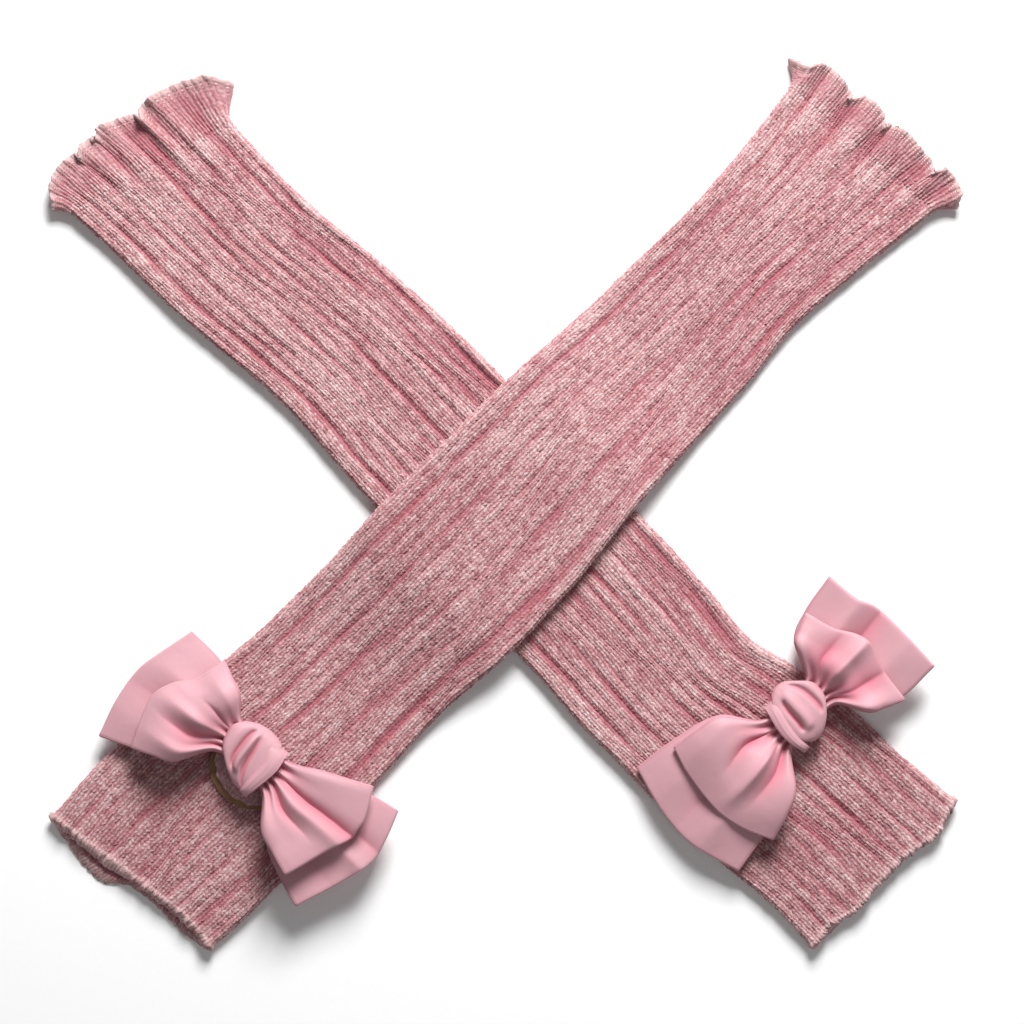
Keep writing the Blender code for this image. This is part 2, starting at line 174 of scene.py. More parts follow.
UNDER_CUFF_EDGE = table(
    EdgeRow, (-44, 0.2, 0.4), (-28, -4.6, -2), (-10, -1.3, -2.6), (8, -1.8, -1), (20, -2.6, 0),
    (31, 0.6, -1.6), (44, -0.6, 0))

# The frill's free edge: reach past the tube's end, height, sideways lean, and how much of
# the strongest curl it has.
OVER_UPPER_FRILL = table(
    FrillRow, (-41, 8, 1.6, -3, 0.9), (-39, 13, 3.4, -1.6, 0.8), (-35, 16.4, 0.2, 0.6, 0.1),
    (-30, 16, 4.2, 1.2, 0.6), (-26, 12.4, 2, -1.2, 0.9), (-23.5, 15.6, 0, 0.4, 0),
    (-18, 16.2, 2.2, 0, 0.1), (-9, 17.6, 4.2, 0.8, 0.2), (-3, 15.8, 0.4, 0.6, 0.3),
    (0.5, 13.4, 0.2, -0.8, 0.6), (2.8, 16.6, 3.4, -0.4, 0), (8, 18.2, 4.4, 0.6, 0.1),
    (12.5, 17.6, 0.4, 1.2, 0.2), (17.5, 12.2, 0, 0.6, 0.8), (20.5, 15.2, 1.8, -1, 0),
    (26, 16.8, 4.2, 0, 0.2), (32, 17.2, 0.4, 0.4, 0.1), (36.5, 15.4, 4.8, -0.6, 0.4),
    (39, 11, 3.6, -0.4, 0.8), (40.5, 8.6, 3.6, 5.4, 0.9))

UNDER_UPPER_FRILL = table(
    FrillRow, (-34.5, 12, 2.4, -8, 0.8), (-33.4, 19.5, 3.2, -4.6, 0.5), (-31, 23, 3, -1.6, 0.3),
    (-27, 25.2, 0.4, -0.4, 0.1), (-21, 26.8, 1.6, 0.4, 0.2), (-16, 27, 4.2, 1.6, 0.5),
    (-12, 25.2, 0.2, 1, 0.2), (-8.7, 21.4, 4.8, 1.4, 1), (-6, 23.8, 0.4, -1, 0.1),
    (-2, 25.6, 0, -0.6, 0.1), (6, 27.2, 3.6, 1, 0.3), (9.9, 23.6, 0.6, 0.8, 0.6),
    (13, 24.4, 1.8, -0.6, 0), (17.3, 23.6, 4.4, 0.8, 0.3), (20.4, 19.8, 0.2, 1.2, 0.9),
    (23, 22, 2.2, -0.6, 0), (30, 20.4, 2.2, 0.6, 0.1), (37, 15, 2.2, 1.2, 0.4),
    (41.5, 6, 4, 1.6, 1))

OVER_LOWER_FRILL = table(
    FrillRow, (-41, 8, 0.4, -3.6, 0), (-34, 13, 0.9, 0, 0), (-24, 14.6, 0.1, 0, 0),
    (-14, 13.4, 1, 0.6, 0), (-4, 15, 0.1, 0, 0), (8, 13.6, 0.9, -0.6, 0), (20, 14.4, 0.1, 0, 0),
    (31, 12.4, 1, 0.8, 0), (37, 11, 0.4, 5.6, 0), (40.5, 8.6, 0.4, 7.6, 0))

UNDER_LOWER_FRILL = table(
    FrillRow, (-34.5, 10, 0.6, -8.6, 0), (-26, 18, 0.2, -2, 0), (-16, 20.6, 0.9, 0, 0),
    (-4, 19, 0.1, 0.6, 0), (8, 20, 1, 0, 0), (20, 17.6, 0.1, 0.6, 0), (31, 15, 0.9, 1, 0),
    (38, 10, 0.2, 2.6, 0), (41.5, 7.6, 0.4, 3.8, 0))

# Lengthwise troughs (depth above 0) and ridges (below 0) of the upper panel.
OVER_CREASES = table(
    Crease, (0.055, -0.7, 0.040, 90, 440, 0.01), (0.120, 1, 0.022, 100, 430, 0.03),
    (0.235, -0.5, 0.035, 20, 330, -0.02), (0.320, 0.8, 0.020, -20, 260, 0.03),
    (0.420, -0.6, 0.040, 120, 460, 0.02), (0.500, 0.9, 0.022, -30, 210, -0.02),
    (0.560, 0.7, 0.018, 230, 470, 0.03), (0.640, -0.6, 0.030, 30, 380, 0.02),
    (0.700, 1, 0.022, 60, 420, -0.02), (0.790, -0.5, 0.030, -20, 300, 0.01),
    (0.845, 1.4, 0.022, -20, 250, 0.02), (0.905, 1.1, 0.020, 150, 470, -0.02),
    (0.955, -0.4, 0.030, 0, 470, 0))

UNDER_CREASES = table(
    Crease, (0.060, -0.7, 0.028, 60, 430, 0), (0.120, 1.2, 0.020, 100, 440, 0.02),
    (0.250, 0.8, 0.022, -20, 260, 0.02), (0.330, -0.5, 0.035, 100, 420, -0.02),
    (0.430, 0.9, 0.020, -20, 300, 0.02), (0.540, 0.8, 0.018, 240, 470, -0.02),
    (0.600, 1, 0.020, -20, 230, 0.01), (0.690, -0.6, 0.030, 100, 430, 0.02),
    (0.770, 1, 0.020, 40, 400, 0.02), (0.850, 0.9, 0.018, -20, 470, -0.01),
    (0.900, 1.6, 0.020, 90, 420, 0.02), (0.950, -1, 0.022, 60, 440, 0))

OVER_BACK = (
    make_loop(
        mouth=(-10.0, 8.0), crown=1.0,
        rows=[(24, -24.5, 17, 2.3, 5.1), (38, -31, 21, 0, 4), (53, -37.5, 22, -1.4, 0.8)],
        tip=[(-1, 54.3), (-0.42, 58.8), (0.11, 60), (0.51, 57.3), (1, 53.3)],
        pleats=[(0.30, 0.35, 1.4, 0.25, 1.2), (-0.10, -0.10, -1, 0.25, 1.2),
                (-0.60, -0.55, 0.8, 0.25, 1.2)]),
    make_loop(
        mouth=(-10.0, 7.5), crown=1.0,
        rows=[(30, -25.5, 15.5, 2.2, 5.1), (46, -33, 19.5, 1.8, 5.2), (58, -37, 22, 3.8, 6.4)],
        tip=[(-1, 55.2), (-0.18, 64.4), (0.24, 67.3), (0.64, 65), (1, 61.6)],
        pleats=[(0.10, 0.02, 2.2, 0.15, 1.3), (0.40, 0.36, -1.6, 0.14, 1.3),
                (-0.45, -0.45, -1, 0.22, 1.2)]),
)

OVER_FRONT = (
    make_loop(
        mouth=(-10.0, 8.0), crown=2.2,
        rows=[(22, -23.5, 16.5, 8.3, 12.3), (30, -28, 19.5, 7.4, 11.4),
              (37, -31.5, 22.3, 6, 8.2)],
        tip=[(-1, 40.3), (-0.51, 45.4), (-0.13, 48), (0.22, 44.6), (0.46, 39.1), (0.74, 36.5),
             (1, 34.4)],
        pleats=[(0.66, 0.74, 1.8, 0.20, 1.15), (0.32, 0.40, -3.6, 0.065, 0.85),
                (0.05, -0.02, 2.6, 0.17, 1.1), (-0.48, -0.30, -3.2, 0.17, 1),
                (-0.85, -0.66, 2, 0.16, 1.1)]),
    make_loop(
        mouth=(-10.0, 7.5), crown=1.8,
        rows=[(24, -21.5, 13.5, 7.8, 11.6), (34, -25.5, 18.5, 8.2, 12),
              (44, -29, 23.5, 10.2, 13.4)],
        tip=[(-1, 42.9), (-0.64, 46.3), (-0.24, 49.8), (0.14, 54), (0.30, 53.6), (0.50, 53),
             (1, 46.8)],
        pleats=[(0.80, 0.90, 1.2, 0.25, 1.2), (0.34, 0.16, -3, 0.12, 1.4),
                (0.06, -0.06, 1.8, 0.16, 1.3), (-0.26, -0.34, -2.6, 0.10, 0.95),
                (-0.78, -1, 2.8, 0.34, 1.3)]),
)

UNDER_BACK = (
    make_loop(
        mouth=(-8.0, 10.5), crown=1.0,
        rows=[(24, -19, 24.5, 2.8, 5.6), (46, -24.5, 31.5, 2.7, 6.3),
              (64, -27.8, 34.2, 1.7, 3.9)],
        tip=[(-1, 65.4), (-0.27, 71), (0.27, 70.1), (1, 63.9)],
        pleats=[(-0.25, -0.40, 1.8, 0.20, 1.2), (0.10, 0.05, -1.4, 0.20, 1.1),
                (0.45, 0.50, 1, 0.25, 1.2)]),
    make_loop(
        mouth=(-8.0, 9.5), crown=1.0,
        rows=[(21, -20, 23.5, 2.8, 5.2), (34, -26, 29, 2.6, 6), (52, -26.8, 32, 5.2, 8.2)],
        tip=[(-1, 53.8), (-0.27, 54.9), (0.23, 54.4), (0.50, 51.4), (1, 50.2)],
        pleats=[(0.05, 0.10, -2.4, 0.17, 1.3), (0.45, 0.42, 1.4, 0.16, 1.3),
                (-0.45, -0.50, 1.2, 0.25, 1.2)]),
)

UNDER_FRONT = (
    make_loop(
        mouth=(-8.0, 10.5), crown=2.2,
        rows=[(24, -20, 24.5, 9, 12.9), (34, -25, 27.5, 8.5, 12.5), (45, -28.4, 29.4, 7.7, 9.9)],
        tip=[(-1, 45.5), (-0.54, 51), (-0.09, 53), (0.58, 50.4), (1, 46.5)],
        pleats=[(0.95, 0.70, 1.8, 0.35, 1.2), (0.40, 0.16, -5, 0.11, 0.85),
                (-0.30, -0.14, 4, 0.12, 1.05), (-0.68, -0.38, -3.2, 0.13, 0.95),
                (-1.05, -0.90, 1.6, 0.22, 1.2)]),
    make_loop(
        mouth=(-8.0, 9.5), crown=2.2,
        rows=[(20, -19.5, 22.5, 9.2, 13), (26, -23.5, 26, 8.3, 12.3), (33, -27, 28.7, 9.2, 12.2)],
        tip=[(-1, 34.7), (-0.45, 37.3), (-0.02, 41.5), (0.22, 40.3), (0.53, 35.4), (1, 31.9)],
        pleats=[(0.92, 0.84, 2.2, 0.20, 1.1), (0.40, 0.38, -3.4, 0.15, 1.15),
                (0.04, 0.03, 3.4, 0.12, 1.3), (-0.42, -0.48, -3.4, 0.19, 1.25),
                (-0.85, -0.92, 2.2, 0.16, 1.1)]),
)

OVER_KNOT = Knot(
    low=-14.8, high=12.6, rise=12.6,
    rows=table(
        KnotRow, (-14.8, -2, 9.6), (-10, -8, 10.2), (-5, -12.6, 10.6), (2, -15, 11),
        (8, -14, 10.6), (12.6, -9, 8)),
    folds=table(
        Fold, (0.32, 0.03, -1.7, 0.040, -0.65, 0.8), (0.43, 0.03, 2.2, 0.070, -0.65, 0.8),
        (0.55, -0.10, -1.6, 0.045, -1, 0.8), (0.16, 0.04, 0.9, 0.090, -1, 1)),
    band=table(
        BandRow, (-15.6, 7.4, 2), (-10, 7.6, 2.9), (2, 7.9, 4.3), (10.4, 4.3, 6.6)),
    tuck=2.6)

UNDER_KNOT = Knot(
    low=-12.6, high=15.8, rise=12.6,
    rows=table(
        KnotRow, (-12.6, -6, 4), (-8, -9, 9), (0, -10, 13.6), (8, -9.6, 13.2), (15.8, -4, 7)),
    folds=table(
        Fold, (0.31, 0.09, -1.8, 0.050, -0.50, 0.62), (0.45, 0.04, 1.5, 0.110, -0.60, 0.80),
        (0.78, -0.06, -1.3, 0.060, -0.50, 0.90)),
    band=table(
        BandRow, (-12.6, -8.6, 1.6), (-6, -9.6, 2.2), (2, -8.9, 2.8), (13.2, -5.6, 2.8)),
    tuck=0.9)

OVER_BOW = Bow(
    place=(77.5, 1.4), turn=-85.9, seat=9.4, ribbons=(OVER_BACK, OVER_FRONT), knot=OVER_KNOT)
UNDER_BOW = Bow(
    place=(74.3, -23.6), turn=-89.6, seat=6.1, ribbons=(UNDER_BACK, UNDER_FRONT),
    knot=UNDER_KNOT)

OVER = Warmer(
    name="over", cuff=(-160.7, -160.8), heading=45.1, rows=OVER_ROWS,
    cuff_edge=OVER_CUFF_EDGE, end_left=441.0, end_right=447.0,
    upper_frill=OVER_UPPER_FRILL, lower_frill=OVER_LOWER_FRILL,
    flare_left=2.0, flare_right=3.0, creases=OVER_CREASES, rib_depth=0.32, bow=OVER_BOW)
UNDER = Warmer(
    name="under", cuff=(162.7, -157.0), heading=135.6, rows=UNDER_ROWS,
    cuff_edge=UNDER_CUFF_EDGE, end_left=447.0, end_right=425.0,
    upper_frill=UNDER_UPPER_FRILL, lower_frill=UNDER_LOWER_FRILL,
    flare_left=1.5, flare_right=4.0, creases=UNDER_CREASES, rib_depth=0.42, bow=UNDER_BOW)


# ---------------------------------------------------------------- shapes

def smooth(share):
    """Ease from 0 to 1 as share goes from 0 to 1."""
    share = np.clip(share, 0.0, 1.0)
    return share * share * (3.0 - 2.0 * share)


def bell(offset):
    """A bump 1 high around 0 that fades out by about 2."""
    return np.exp(-offset * offset)


def squarish(value, power):
    """A sine or cosine drawn towards -1 and 1, where power is below 1."""
    return np.sign(value) * np.abs(value) ** power


def joined(*values):
    """Several grids of values as one grid of points."""
    return np.stack(np.broadcast_arrays(*values), -1)


def read_table(rows, column, at):
    """Read one named column of a table at places between its rows, along a smooth curve."""
    keys = np.array([row[0] for row in rows], float)
    values = np.array([getattr(row, column) for row in rows], float)
    slopes = np.gradient(values, keys)
    slopes[1:-1] = (values[2:] - values[:-2]) / (keys[2:] - keys[:-2])
    at = np.clip(at, keys[0], keys[-1])
    i = np.clip(np.searchsorted(keys, at, side="right") - 1, 0, len(keys) - 2)
    span = keys[i + 1] - keys[i]
    t = (at - keys[i]) / span
    return ((2 * t**3 - 3 * t**2 + 1) * values[i]
            + (t**3 - 2 * t**2 + t) * slopes[i] * span
            + (3 * t**2 - 2 * t**3) * values[i + 1]
            + (t**3 - t**2) * slopes[i + 1] * span)


def ripple(along, seed):
    """A slow, uneven wave along a length, between about -1 and 1, different for each seed."""
    phase = seed * 2.399
    return (np.sin(along / 23.0 + phase) + 0.7 * np.sin(along / 11.3 + 1.7 * phase)
            + 0.5 * np.sin(along / 5.9 + 2.3 * phase)) / 2.2


def flat_ring(left, right, height, share, inset):
    """Points and outward directions on a flattened ring.

    share runs from 0 to 1 across the upper panel, from the left fold to the right one,
    and on to 2 back across the lower panel. inset moves the ring inwards.
    """
    half = height / 2 - inset
    quarter = math.pi * half / 2
    level = left + right - height
    lower = share > 1
    place = np.where(lower, 2 - share, share) * (level + 2 * quarter)
    first = np.clip(place, 0, quarter) / half
    run = np.clip(place - quarter, 0, level)
    last = np.clip(place - quarter - level, 0, quarter) / half
    across = left - height / 2 + half * np.cos(first) - run - half * np.sin(last)
    sign = np.where(lower, -1.0, 1.0)
    up = height / 2 + sign * half * (np.sin(first) + np.cos(last) - 1)
    return across, up, np.cos(first) - np.sin(last), sign * np.sin(first) * np.cos(last)


def end_line(warmer, across):
    """Where the tube ends and the frill begins, at places across it."""
    last = warmer.rows[-1]
    share = (across + last.right) / (last.left + last.right)
    return warmer.end_right + (warmer.end_left - warmer.end_right) * share


def edge_shift(warmer, along, across, upper_share):
    """How far the uneven cuff edge and the slanted frill end move a place on the tube."""
    length = warmer.rows[-1].along
    upper = read_table(warmer.cuff_edge, "upper", across)
    lower = read_table(warmer.cuff_edge, "lower", across)
    cuff = (lower + (upper - lower) * upper_share) * smooth(1.0 - along / CUFF_BLEND)
    end = (end_line(warmer, across) - length) * smooth((along - length + END_BLEND) / END_BLEND)
    return cuff + end


def crease_height(warmer, along, share):
    """Height of the lengthwise troughs and ridges on the upper panel."""
    height = np.zeros(np.broadcast(along, share).shape)
    for number, crease in enumerate(warmer.creases):
        into = (smooth((along - crease.start) / CREASE_FADE)
                * smooth((crease.end - along) / CREASE_FADE))
        length = crease.end - crease.start
        drift = crease.drift * (along - crease.start) / length
        wander = CREASE_WANDER * ripple(along, number + 3)
        offset = (share - crease.share - drift - wander) / crease.width
        strength = 0.55 + 0.5 * ripple(along, number + 17)
        height -= crease.depth * into * strength * bell(offset)
    return height


def flute_height(warmer, across, beyond):
    """Height of the frill's waves, at a distance beyond the tube's end (below 0 before it)."""
    rise = read_table(warmer.upper_frill, "rise", across) - FLUTE_LEVEL
    return FLUTE_STRENGTH * rise * smooth((beyond + FLUTE_REACH) / (FLUTE_REACH + FLUTE_FADE))


def rib_height(warmer, along, wale):
    """Height of the ribs: two columns of stitches stand up between narrow valleys."""
    number = np.round(wale / 2)
    strength = np.clip(0.7 + 0.8 * ripple(along, number * 1.7), 0.05, 1.4)
    offset = (wale - 2 * number) / RIB_VALLEY
    return warmer.rib_depth * (0.4 - 1.9 * strength * bell(offset))


def stitch_height(wale, parity, random):
    """Height of the stitches, whose legs stand up beside a crease.

    wale counts columns of stitches and parity is 1 on a leg's crest and 0 between legs.
    """
    leg = np.sin(2 * math.pi * np.mod(wale, 1.0)) ** 2
    return leg * (0.12 + 0.30 * parity) - (1 - leg) * 0.24 + 0.24 * random


def make_mesh(name, points, faces, uvs, matrix):
    """A smooth mesh in the row frame, with one UV for each point."""
    mesh = bpy.data.meshes.new(name)
    mesh.vertices.add(len(points))
    placed = points * MM @ np.array(matrix.to_3x3()).T + np.array(matrix.translation)
    mesh.vertices.foreach_set("co", placed.ravel())
    mesh.loops.add(faces.size)
    mesh.loops.foreach_set("vertex_index", faces.ravel())
    mesh.polygons.add(len(faces))
    mesh.polygons.foreach_set("loop_start", np.arange(0, faces.size, 4))
    mesh.update(calc_edges=True)
    layer = mesh.uv_layers.new(name="cloth")
    layer.data.foreach_set("uv", uvs[faces.ravel()].ravel())
    mesh.validate()
    mesh.shade_smooth()
    item = bpy.data.objects.new(name, mesh)
    bpy.context.scene.collection.objects.link(item)
    return item


def add_relief(item, heights, nearness, faces):
    """Store relief or fold depth, which sets the cloth's painted shade, and nearness to a rim."""
    layer = item.data.uv_layers.new(name="relief")
    values = np.stack([heights, nearness], -1)[faces.ravel()]
    layer.data.foreach_set("uv", values.ravel())


def grid_faces(rows, columns, closed_rows=False, closed_columns=False):
    """Quads that join a grid of points, row after row."""
    r = np.arange(rows if closed_rows else rows - 1)[:, None]
    c = np.arange(columns if closed_columns else columns - 1)[None, :]
    r_next = (r + 1) % rows
    c_next = (c + 1) % columns
    corners = [r * columns + c, r * columns + c_next,
               r_next * columns + c_next, r_next * columns + c]
    return np.stack([np.broadcast_to(k, (r.size, c.size)) for k in corners], -1).reshape(-1, 4)


def warmer_matrix(warmer):
    """Places a warmer's own frame in the row frame."""
    move = Matrix.Translation(Vector((*warmer.cuff, 0.0)) * MM)
    return move @ Matrix.Rotation(math.radians(warmer.heading), 4, "Z")


def bow_matrix(warmer):
    """Places a bow's own frame in the row frame."""
    bow = warmer.bow
    move = Matrix.Translation(Vector((*bow.place, 0.0)) * MM)
    return warmer_matrix(warmer) @ move @ Matrix.Rotation(math.radians(bow.turn), 4, "Z")


def column_share(wale, along, random):
    """Where a column of stitches lies around the tube: columns drift, and stitches stray."""
    drift = WALE_WANDER * ripple(along * 1.3, wale * 0.21) + STITCH_JITTER * random
    return np.mod((wale + drift) / WALES, 2.0)


def tube_rows(warmer):
    """Each ring of the tube as (courses from the cuff, parity, inset): inside, rim, outside."""
    length = max(warmer.end_left, warmer.end_right)
    inside = [(along / COURSE, 0.5, KNIT_WALL) for along in np.linspace(TURN_IN, 2.0, 14)]
    rim = [(0.35, 0.4, KNIT_WALL), (-0.25, 0.6, KNIT_WALL * 0.5)]
    count = int(length / COURSE)
    outside = [(row / 2, float(row % 2), 0.0) for row in range(2 * count + 1)]
    return inside + rim + outside


def make_tube(warmer):
    """The knitted tube: outer stitches, a rounded rim and the inside of the cuff."""
    generator = np.random.default_rng(RANDOM_SEED + len(warmer.name))
    upper = [w + x for w in range(WALES) for x in UPPER_COLUMNS]
    lower = [WALES + w + x for w in range(WALES) for x in LOWER_COLUMNS]
    wale = np.array(upper + lower)[None, :]
    table = np.array(tube_rows(warmer))
    course, parity, inset = table[:, 0:1], table[:, 1:2], table[:, 2:3]
    inner = inset > 0
    climb = LEG_SLANT * np.abs(2 * np.mod(wale, 1.0) - 1)
    course = course + np.where(inner, 0.0, climb)
    along = course * COURSE
    random = generator.uniform(-1, 1, along.shape)
    share = column_share(wale, along, random)
    left = read_table(warmer.rows, "left", along)
    right = read_table(warmer.rows, "right", along)
    across, up, out_y, out_z = flat_ring(left, right, TUBE_HEIGHT, share, inset)
    upper_share = np.clip(up / TUBE_HEIGHT, 0, 1)

    length = warmer.rows[-1].along
    random = generator.uniform(-1, 1, along.shape)
    knit = stitch_height(wale, parity, random)
    lumps = (0.8 + 0.35 * np.sin(1.1 * math.pi * wale + 2 * np.sin(wale * 1.3))
             + 0.25 * np.sin(0.43 * math.pi * wale) + 0.25 * random)
    rim_swell = lumps * bell((along - 1.0) / 1.3)
    rise = np.where(inner, 0.3 * knit, knit - 0.12 + rim_swell)
    fold_keep = np.clip(out_z, 0, 1) ** 2
    creases = crease_height(warmer, along, share) * fold_keep * upper_share
    creases += flute_height(warmer, across, along - length) * fold_keep * upper_share
    ribs = rib_height(warmer, along, wale) * np.clip(out_z + 0.4, 0, 1)
    resting = np.where(inner, 0.0, smooth(-out_z))
    relief = np.where(inner, 0.0, ribs + creases)
    rise = rise + relief
    rim = bell((along - RIM_PLACE) / RIM_SPREAD)
    # Painted shade darkens the inside of the cuff; the cast-on edge is paler yarn.
    relief = relief + RIM_PALE_AND_INSIDE_SHADE * rim - RIM_PALE_AND_INSIDE_SHADE * (inset > 1.9)
    rise = rise * (1 - resting) + np.minimum(rise - 0.3, -0.02) * resting

    y = across + rise * out_y
    z = np.maximum(up + rise * out_z, 0.0)
    x = along + edge_shift(warmer, along, across, upper_share)
    x = x + generator.uniform(-0.26, 0.26, along.shape)
    swing = (0.9 * lumps - 0.4) * (0.3 + 0.7 * upper_share)
    x = x - np.where(inner & (inset < 1.9) | (along < 1.0), swing, 0.0)
    z = z + read_table(warmer.rows, "lift", along)
    points = np.stack([x, y, z], -1).reshape(-1, 3)
    v = np.where(inner, course, table[:, 0:1])
    uvs = joined(wale, v).reshape(-1, 2)
    faces = grid_faces(len(table), wale.size, closed_columns=True)
    item = make_mesh(f"{warmer.name}_tube_knit", points, faces, uvs, warmer_matrix(warmer))
    add_relief(item, relief.ravel(), (rim * (inset < 1.9)).ravel(), faces)
    return item


def frill_edge(warmer, column, across, upper_share):
    """One column of the frill's tables, passing from the upper table to the lower one."""
    over = read_table(warmer.upper_frill, column, across)
    under = read_table(warmer.lower_frill, column, across)
    return under + (over - under) * smooth(upper_share)


def frill_points(warmer, wale, course, random):
    """Points of the frill: it flares, waves more and more, and curls at its free edge.

    Its stitches go on from the tube's, and course counts them from the tube's end.
    """
    last = warmer.rows[-1]
    along = last.along + course * COURSE
    share = column_share(wale, along, random)
    across, up, out_y, out_z = flat_ring(last.left, last.right, TUBE_HEIGHT, share, 0.0)
    upper_share = np.clip(up / TUBE_HEIGHT, 0, 1)
    climb = LEG_SLANT * np.abs(2 * np.mod(wale, 1.0) - 1)
    out = (course + climb * (1 - smooth(course / FRILL_COURSES))) / FRILL_COURSES
    reach, rise, lean, curl = (frill_edge(warmer, column, across, upper_share)
                               for column in ("reach", "rise", "lean", "curl"))
    ruffle = smooth(out) * out
    half = np.where(across > 0, last.left, last.right)
    flare = np.where(across > 0, warmer.flare_left, -warmer.flare_right)
    straight = np.minimum(out, CURL_START) * reach
    turn = np.maximum(curl * CURL_STRENGTH, 0.02) * math.pi
    radius = (1 - CURL_START) * reach / turn
    angle = turn * np.clip((out - CURL_START) / (1 - CURL_START), 0, 1)
    x = end_line(warmer, across) + 0.2 + straight + radius * np.sin(angle)
    lift = radius * (1 - np.cos(angle))

    fold_keep = np.clip(out_z, 0, 1) ** 2
    fade = 1 - 0.6 * smooth(out)
    relief = rib_height(warmer, along, wale) * fade * np.clip(out_z + 0.4, 0, 1)
    relief += flute_height(warmer, across, out * reach) * upper_share
    relief += crease_height(warmer, along, share) * fold_keep * upper_share * (1 - out)
    knit = stitch_height(wale, np.mod(2 * course, 2.0), random) * fade - 0.12
    scallop = np.sin(2 * math.pi * wale / 1.3 + 3 * np.sin(wale / 2.3))
    pucker = ruffle**2 * (0.3 * scallop + 0.4 * np.sin(2 * math.pi * wale / 2.9 + 1.0))
    y = across + ruffle * lean + flare * out * smooth(np.abs(across) / half)
    y = y + (relief + knit) * out_y + 0.3 * ruffle * np.sin(2 * math.pi * wale / 1.7)
    settled = up * (1 + 0.20 * out * upper_share) + 0.25 * rise * ruffle * (1 - upper_share)
    z = settled + (relief + knit) * np.abs(out_z) + (pucker + lift) * upper_share
    z = z - np.where(course < 0, 0.5, 0.0) * upper_share
    x = x - 0.35 * ruffle * np.abs(scallop)
    return np.stack([x, y, np.maximum(z, FRILL_WALL)], -1), relief, out


def frill_bead(sheet, generator):
    """Rows that roll the frill's free edge over into a soft, lumpy overlocked lip."""
    rim = sheet[-1]
    outward = rim - sheet[-3]
    outward /= np.linalg.norm(outward, axis=-1, keepdims=True)
    tangent = np.roll(rim, -1, axis=0) - np.roll(rim, 1, axis=0)
    normal = np.cross(outward, tangent)
    normal /= np.maximum(np.linalg.norm(normal, axis=-1, keepdims=True), 0.001)
    upper_columns = int(WALES / FRILL_UPPER_STEP)
    normal *= np.sign(normal[:upper_columns, 2].mean())
    lumps = generator.uniform(-1, 1, len(rim))
    lumps = (lumps + np.roll(lumps, 1) + np.roll(lumps, 2))[None, :, None]
    radius = BEAD_RADIUS * (1 + 0.16 * lumps)
    turn = np.linspace(0, 1.7 * math.pi, BEAD_STEPS + 1)[1:, None, None]
    bead = rim + radius * (np.sin(turn) * outward + (np.cos(turn) - 1) * normal)
    bead[..., 2] = np.maximum(bead[..., 2], 0.05)
    return bead


def make_frill(warmer):
    """The frill, whose knit goes on from the tube's, with a bead along its free edge."""
    generator = np.random.default_rng(RANDOM_SEED)
    wale = np.concatenate([np.arange(0, WALES, FRILL_UPPER_STEP),
                           np.arange(WALES, 2 * WALES, FRILL_LOWER_STEP)])[None, :]
    course = np.arange(-1, 2 * FRILL_COURSES + 1)[:, None] / 2
    random = generator.uniform(-1, 1, (course.size, wale.size))
    sheet, relief, out = frill_points(warmer, wale, course, random)
    bead = frill_bead(sheet, generator)
    points = np.concatenate([sheet, bead]).reshape(-1, 3)
    tube_courses = int(max(warmer.end_left, warmer.end_right) / COURSE)
    edge = np.full((BEAD_STEPS, 1), FRILL_COURSES + 0.5)
    uvs = [joined(wale, tube_courses + v).reshape(-1, 2) for v in (course, edge)]
    faces = grid_faces(course.size + BEAD_STEPS, wale.size, closed_columns=True)
    name = f"{warmer.name}_frill_ruffle"
    item = make_mesh(name, points, faces, np.concatenate(uvs), warmer_matrix(warmer))
    heights = np.concatenate([relief.ravel(), np.zeros(BEAD_STEPS * wale.size)])
    nearness = np.concatenate([out.ravel(), np.full(BEAD_STEPS * wale.size, 1.2)])
    add_relief(item, heights, nearness, faces)
    return item


def thicken(item, wall):
    """Give a sheet its thickness, evenly on both sides."""
    modifier = item.modifiers.new("wall", "SOLIDIFY")
    modifier.thickness = wall * MM
    modifier.offset = 0.0
    modifier.use_even_offset = False
    modifier.use_rim = True


def gather_level(layer):
    """Height above the seat of one gathered ribbon layer in the knot, counted from below."""
    return CAD_KNOT_WALL + SEAM + CAD_RIBBON_WALL / 2 + 1.0 + LAYER_PITCH * layer


